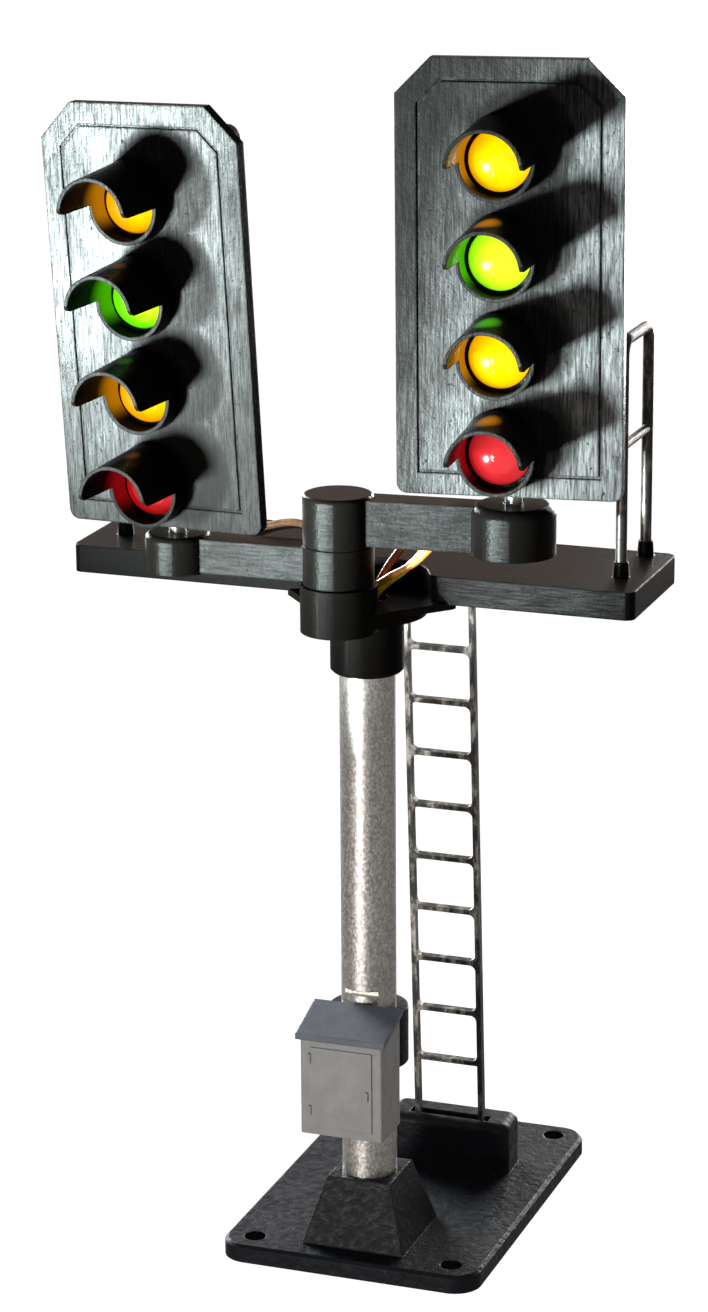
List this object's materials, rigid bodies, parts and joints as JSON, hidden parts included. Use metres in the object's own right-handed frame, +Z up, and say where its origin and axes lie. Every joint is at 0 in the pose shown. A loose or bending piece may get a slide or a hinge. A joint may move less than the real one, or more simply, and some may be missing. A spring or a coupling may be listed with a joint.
{
  "type": "model signal mast",
  "caption": "Model railway colour-light signal mast with twin lamp heads on swinging arms, a service platform with handrails, a ladder, a relay cabinet and a screw-down base",
  "frame": {"origin": "on the mast axis, at the flat underside of the base plate", "axes": "+X runs along the service platform to the right seen from the lamp side, +Y points to the ladder side away from the lamps, +Z is up along the mast"},
  "size_m": [0.0317, 0.0265, 0.0664],
  "materials": {
    "base_plastic": "satin moulded plastic, near black",
    "mast_aluminium": "satin drawn tube",
    "deck_plastic": "dark moulding with a light grey dry-brushed face",
    "arm_plastic": "dark moulding with a light grey dry-brushed face",
    "rail_steel": "blackened wire, rubbed bright in places",
    "ladder_steel": "blackened etched metal, rubbed bright in places",
    "pin_steel": "turned",
    "cabinet_plastic": "mid grey paint",
    "cabinet_roof_plastic": "dark blue-grey paint",
    "head_plastic": "dark plate with light grey vertical streaks",
    "cover_plastic": "near-black moulding",
    "lens_yellow": "clear tinted lamp, lit",
    "lens_green": "clear tinted lamp, lit",
    "lens_red": "clear tinted lamp, lit",
    "board_laminate": "circuit board with solder mask",
    "lead_wire": "tinned wire",
    "resistor_black": "chip resistor",
    "cable_jacket": "soft jacket",
    "sleeve_black": "shrink sleeve",
    "wire_yellow": "insulated lead",
    "wire_orange": "insulated lead",
    "wire_red": "insulated lead",
    "wire_cream": "insulated lead",
    "wire_brown": "insulated lead"
  },
  "bodies": {
    "mast": {"base_plate": "base_plastic", "mast_tube": "mast_aluminium", "mast_collar": "deck_plastic", "platform": "deck_plastic", "handrail_left": "rail_steel", "handrail_right": "rail_steel", "ladder": "ladder_steel", "hub_pin": "pin_steel", "cabinet_body": "cabinet_plastic", "cabinet_roof": "cabinet_roof_plastic", "cabinet_clip": "base_plastic", "mast_cable": "cable_jacket", "wire_yellow": "wire_yellow", "wire_orange": "wire_orange", "wire_red": "wire_red", "wire_cream": "wire_cream", "wire_brown": "wire_brown"},
    "arm_left": {"arm_left": "arm_plastic", "wire_sleeve_left": "sleeve_black"},
    "arm_right": {"arm_right": "arm_plastic", "wire_sleeve_right": "sleeve_black"},
    "head_left": {"head_plate_left": "head_plastic", "head_cover_left": "cover_plastic", "head_pin_left": "pin_steel", "lamp_board_left": "board_laminate", "lamp_yellow_upper_left": "lens_yellow", "lamp_green_left": "lens_green", "lamp_yellow_lower_left": "lens_yellow", "lamp_red_left": "lens_red", "lamp_leads_left": "lead_wire", "resistors_left": "resistor_black"},
    "head_right": {"head_plate_right": "head_plastic", "head_cover_right": "cover_plastic", "head_pin_right": "pin_steel", "lamp_board_right": "board_laminate", "lamp_yellow_upper_right": "lens_yellow", "lamp_green_right": "lens_green", "lamp_yellow_lower_right": "lens_yellow", "lamp_red_right": "lens_red", "lamp_leads_right": "lead_wire", "resistors_right": "resistor_black"}
  },
  "joints": [
    {"name": "arm_left_swing", "type": "hinge", "parent": "mast", "child": "arm_left", "pos_m": [-0.00053, -0.00284, 0.0388], "axis": [0, 0, 1], "range_deg": [-2.5, 38]},
    {"name": "arm_right_swing", "type": "hinge", "parent": "mast", "child": "arm_right", "pos_m": [-0.00053, -0.00284, 0.0409], "axis": [0, 0, 1], "range_deg": [-38, 2.5]},
    {"name": "head_left_swivel", "type": "hinge", "parent": "arm_left", "child": "head_left", "pos_m": [-0.00945, -0.00305, 0.04084], "axis": [-0.0387, -0.0328, 0.9987], "range_deg": [-25, 25]},
    {"name": "head_right_swivel", "type": "hinge", "parent": "arm_right", "child": "head_right", "pos_m": [0.00875, -0.00205, 0.04357], "axis": [-0.0109, 0.0199, 0.9997], "range_deg": [-25, 25]}
  ]
}
